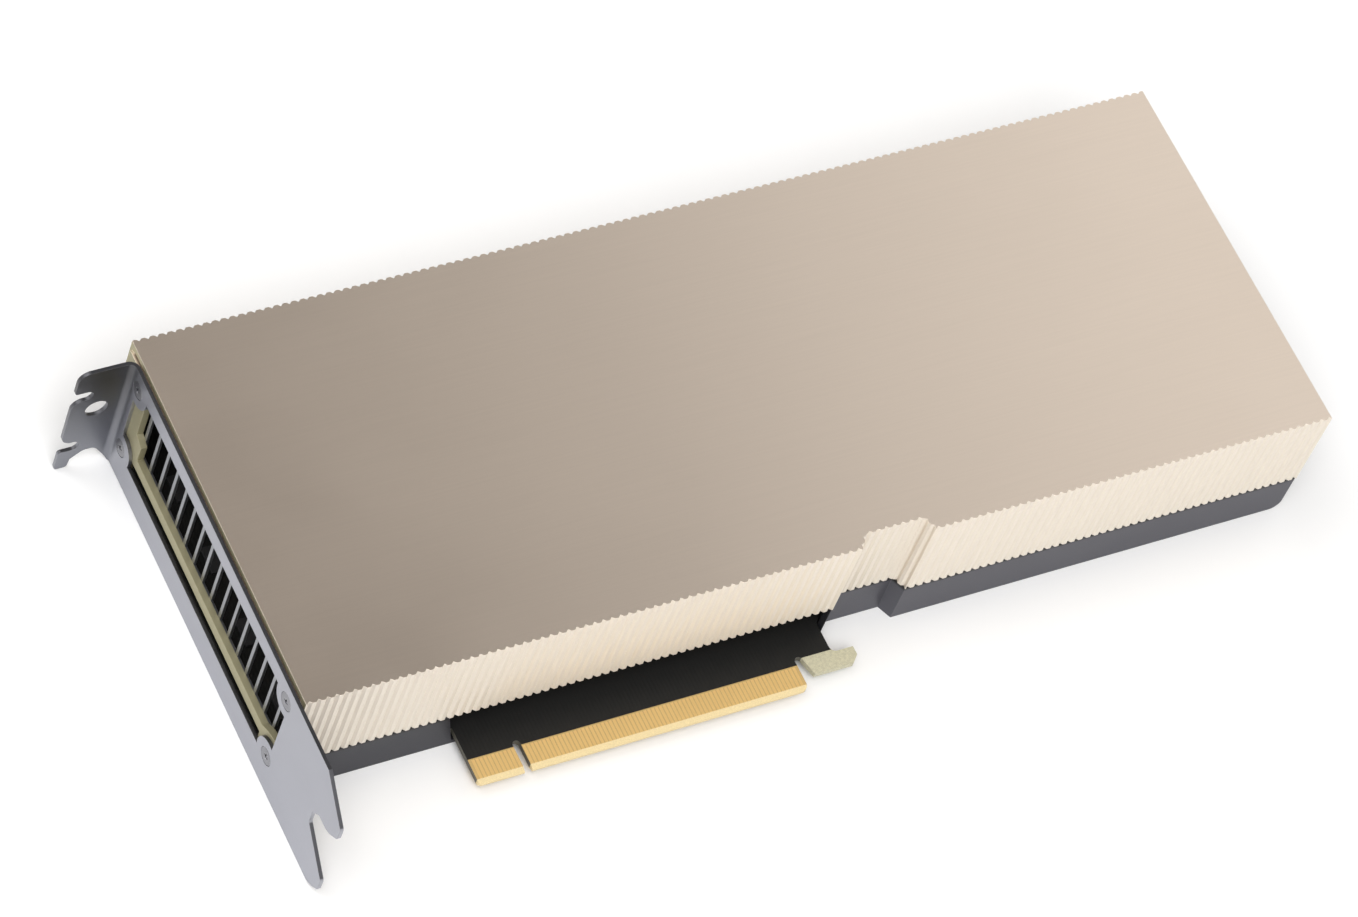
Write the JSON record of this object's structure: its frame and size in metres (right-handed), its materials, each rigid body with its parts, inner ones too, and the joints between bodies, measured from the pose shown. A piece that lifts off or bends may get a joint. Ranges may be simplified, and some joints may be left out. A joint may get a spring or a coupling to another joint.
{
  "type": "passive accelerator card",
  "caption": "Dual-slot passively cooled accelerator card with a ribbed champagne cover, dark tray, slotted bracket and gold edge connector.",
  "frame": {"origin": "edge connector: middle of the key notch, at the contact edge, at the middle of the board's thickness", "axes": "+X from the bracket towards the tail, +Y from the contact edge towards the far long side, +Z from the tray up to the cover's roof"},
  "size_m": [0.283, 0.1258, 0.039],
  "materials": {
    "cover_metal": "satin champagne anodised aluminium, finely brushed",
    "tray_metal": "satin dark grey anodised aluminium",
    "bracket_steel": "plain nickel-plated steel, light grey",
    "grille_steel": "plain grey steel",
    "screw_steel": "zinc-plated steel",
    "board_laminate": "glass laminate with matte black solder mask",
    "contact_gold": "gold-plated copper contacts",
    "film": "thin black insulating film",
    "sink_copper": "nickel-plated copper",
    "sink_aluminium": "plain aluminium fins",
    "package": "dark package laminate",
    "silicon": "polished silicon",
    "paste": "grey thermal paste and pads",
    "chip_plastic": "moulded chip packages",
    "choke_ferrite": "grey pressed ferrite",
    "can_aluminium": "bare aluminium cans",
    "socket_plastic": "black moulded nylon",
    "pin_metal": "tin-plated brass"
  },
  "bodies": {
    "root": {"cover": "cover_metal", "tray": "tray_metal", "main_board": "board_laminate", "edge_contacts": "contact_gold", "io_bracket": "bracket_steel", "bracket_screws": "screw_steel", "vent_grille": "grille_steel", "insulating_film": "film", "heat_sink_base": "sink_copper", "heat_sink_fins": "sink_aluminium", "power_socket": "socket_plastic", "power_pins": "pin_metal", "tray_screws": "screw_steel", "lower_spacers": "screw_steel", "upper_spacers": "screw_steel", "processor_substrate": "package", "processor_die": "silicon", "memory_stacks": "silicon", "thermal_paste": "paste", "power_stages": "chip_plastic", "thermal_pads": "paste", "chokes": "choke_ferrite", "capacitors": "can_aluminium", "controllers": "chip_plastic"}
  },
  "joints": []
}
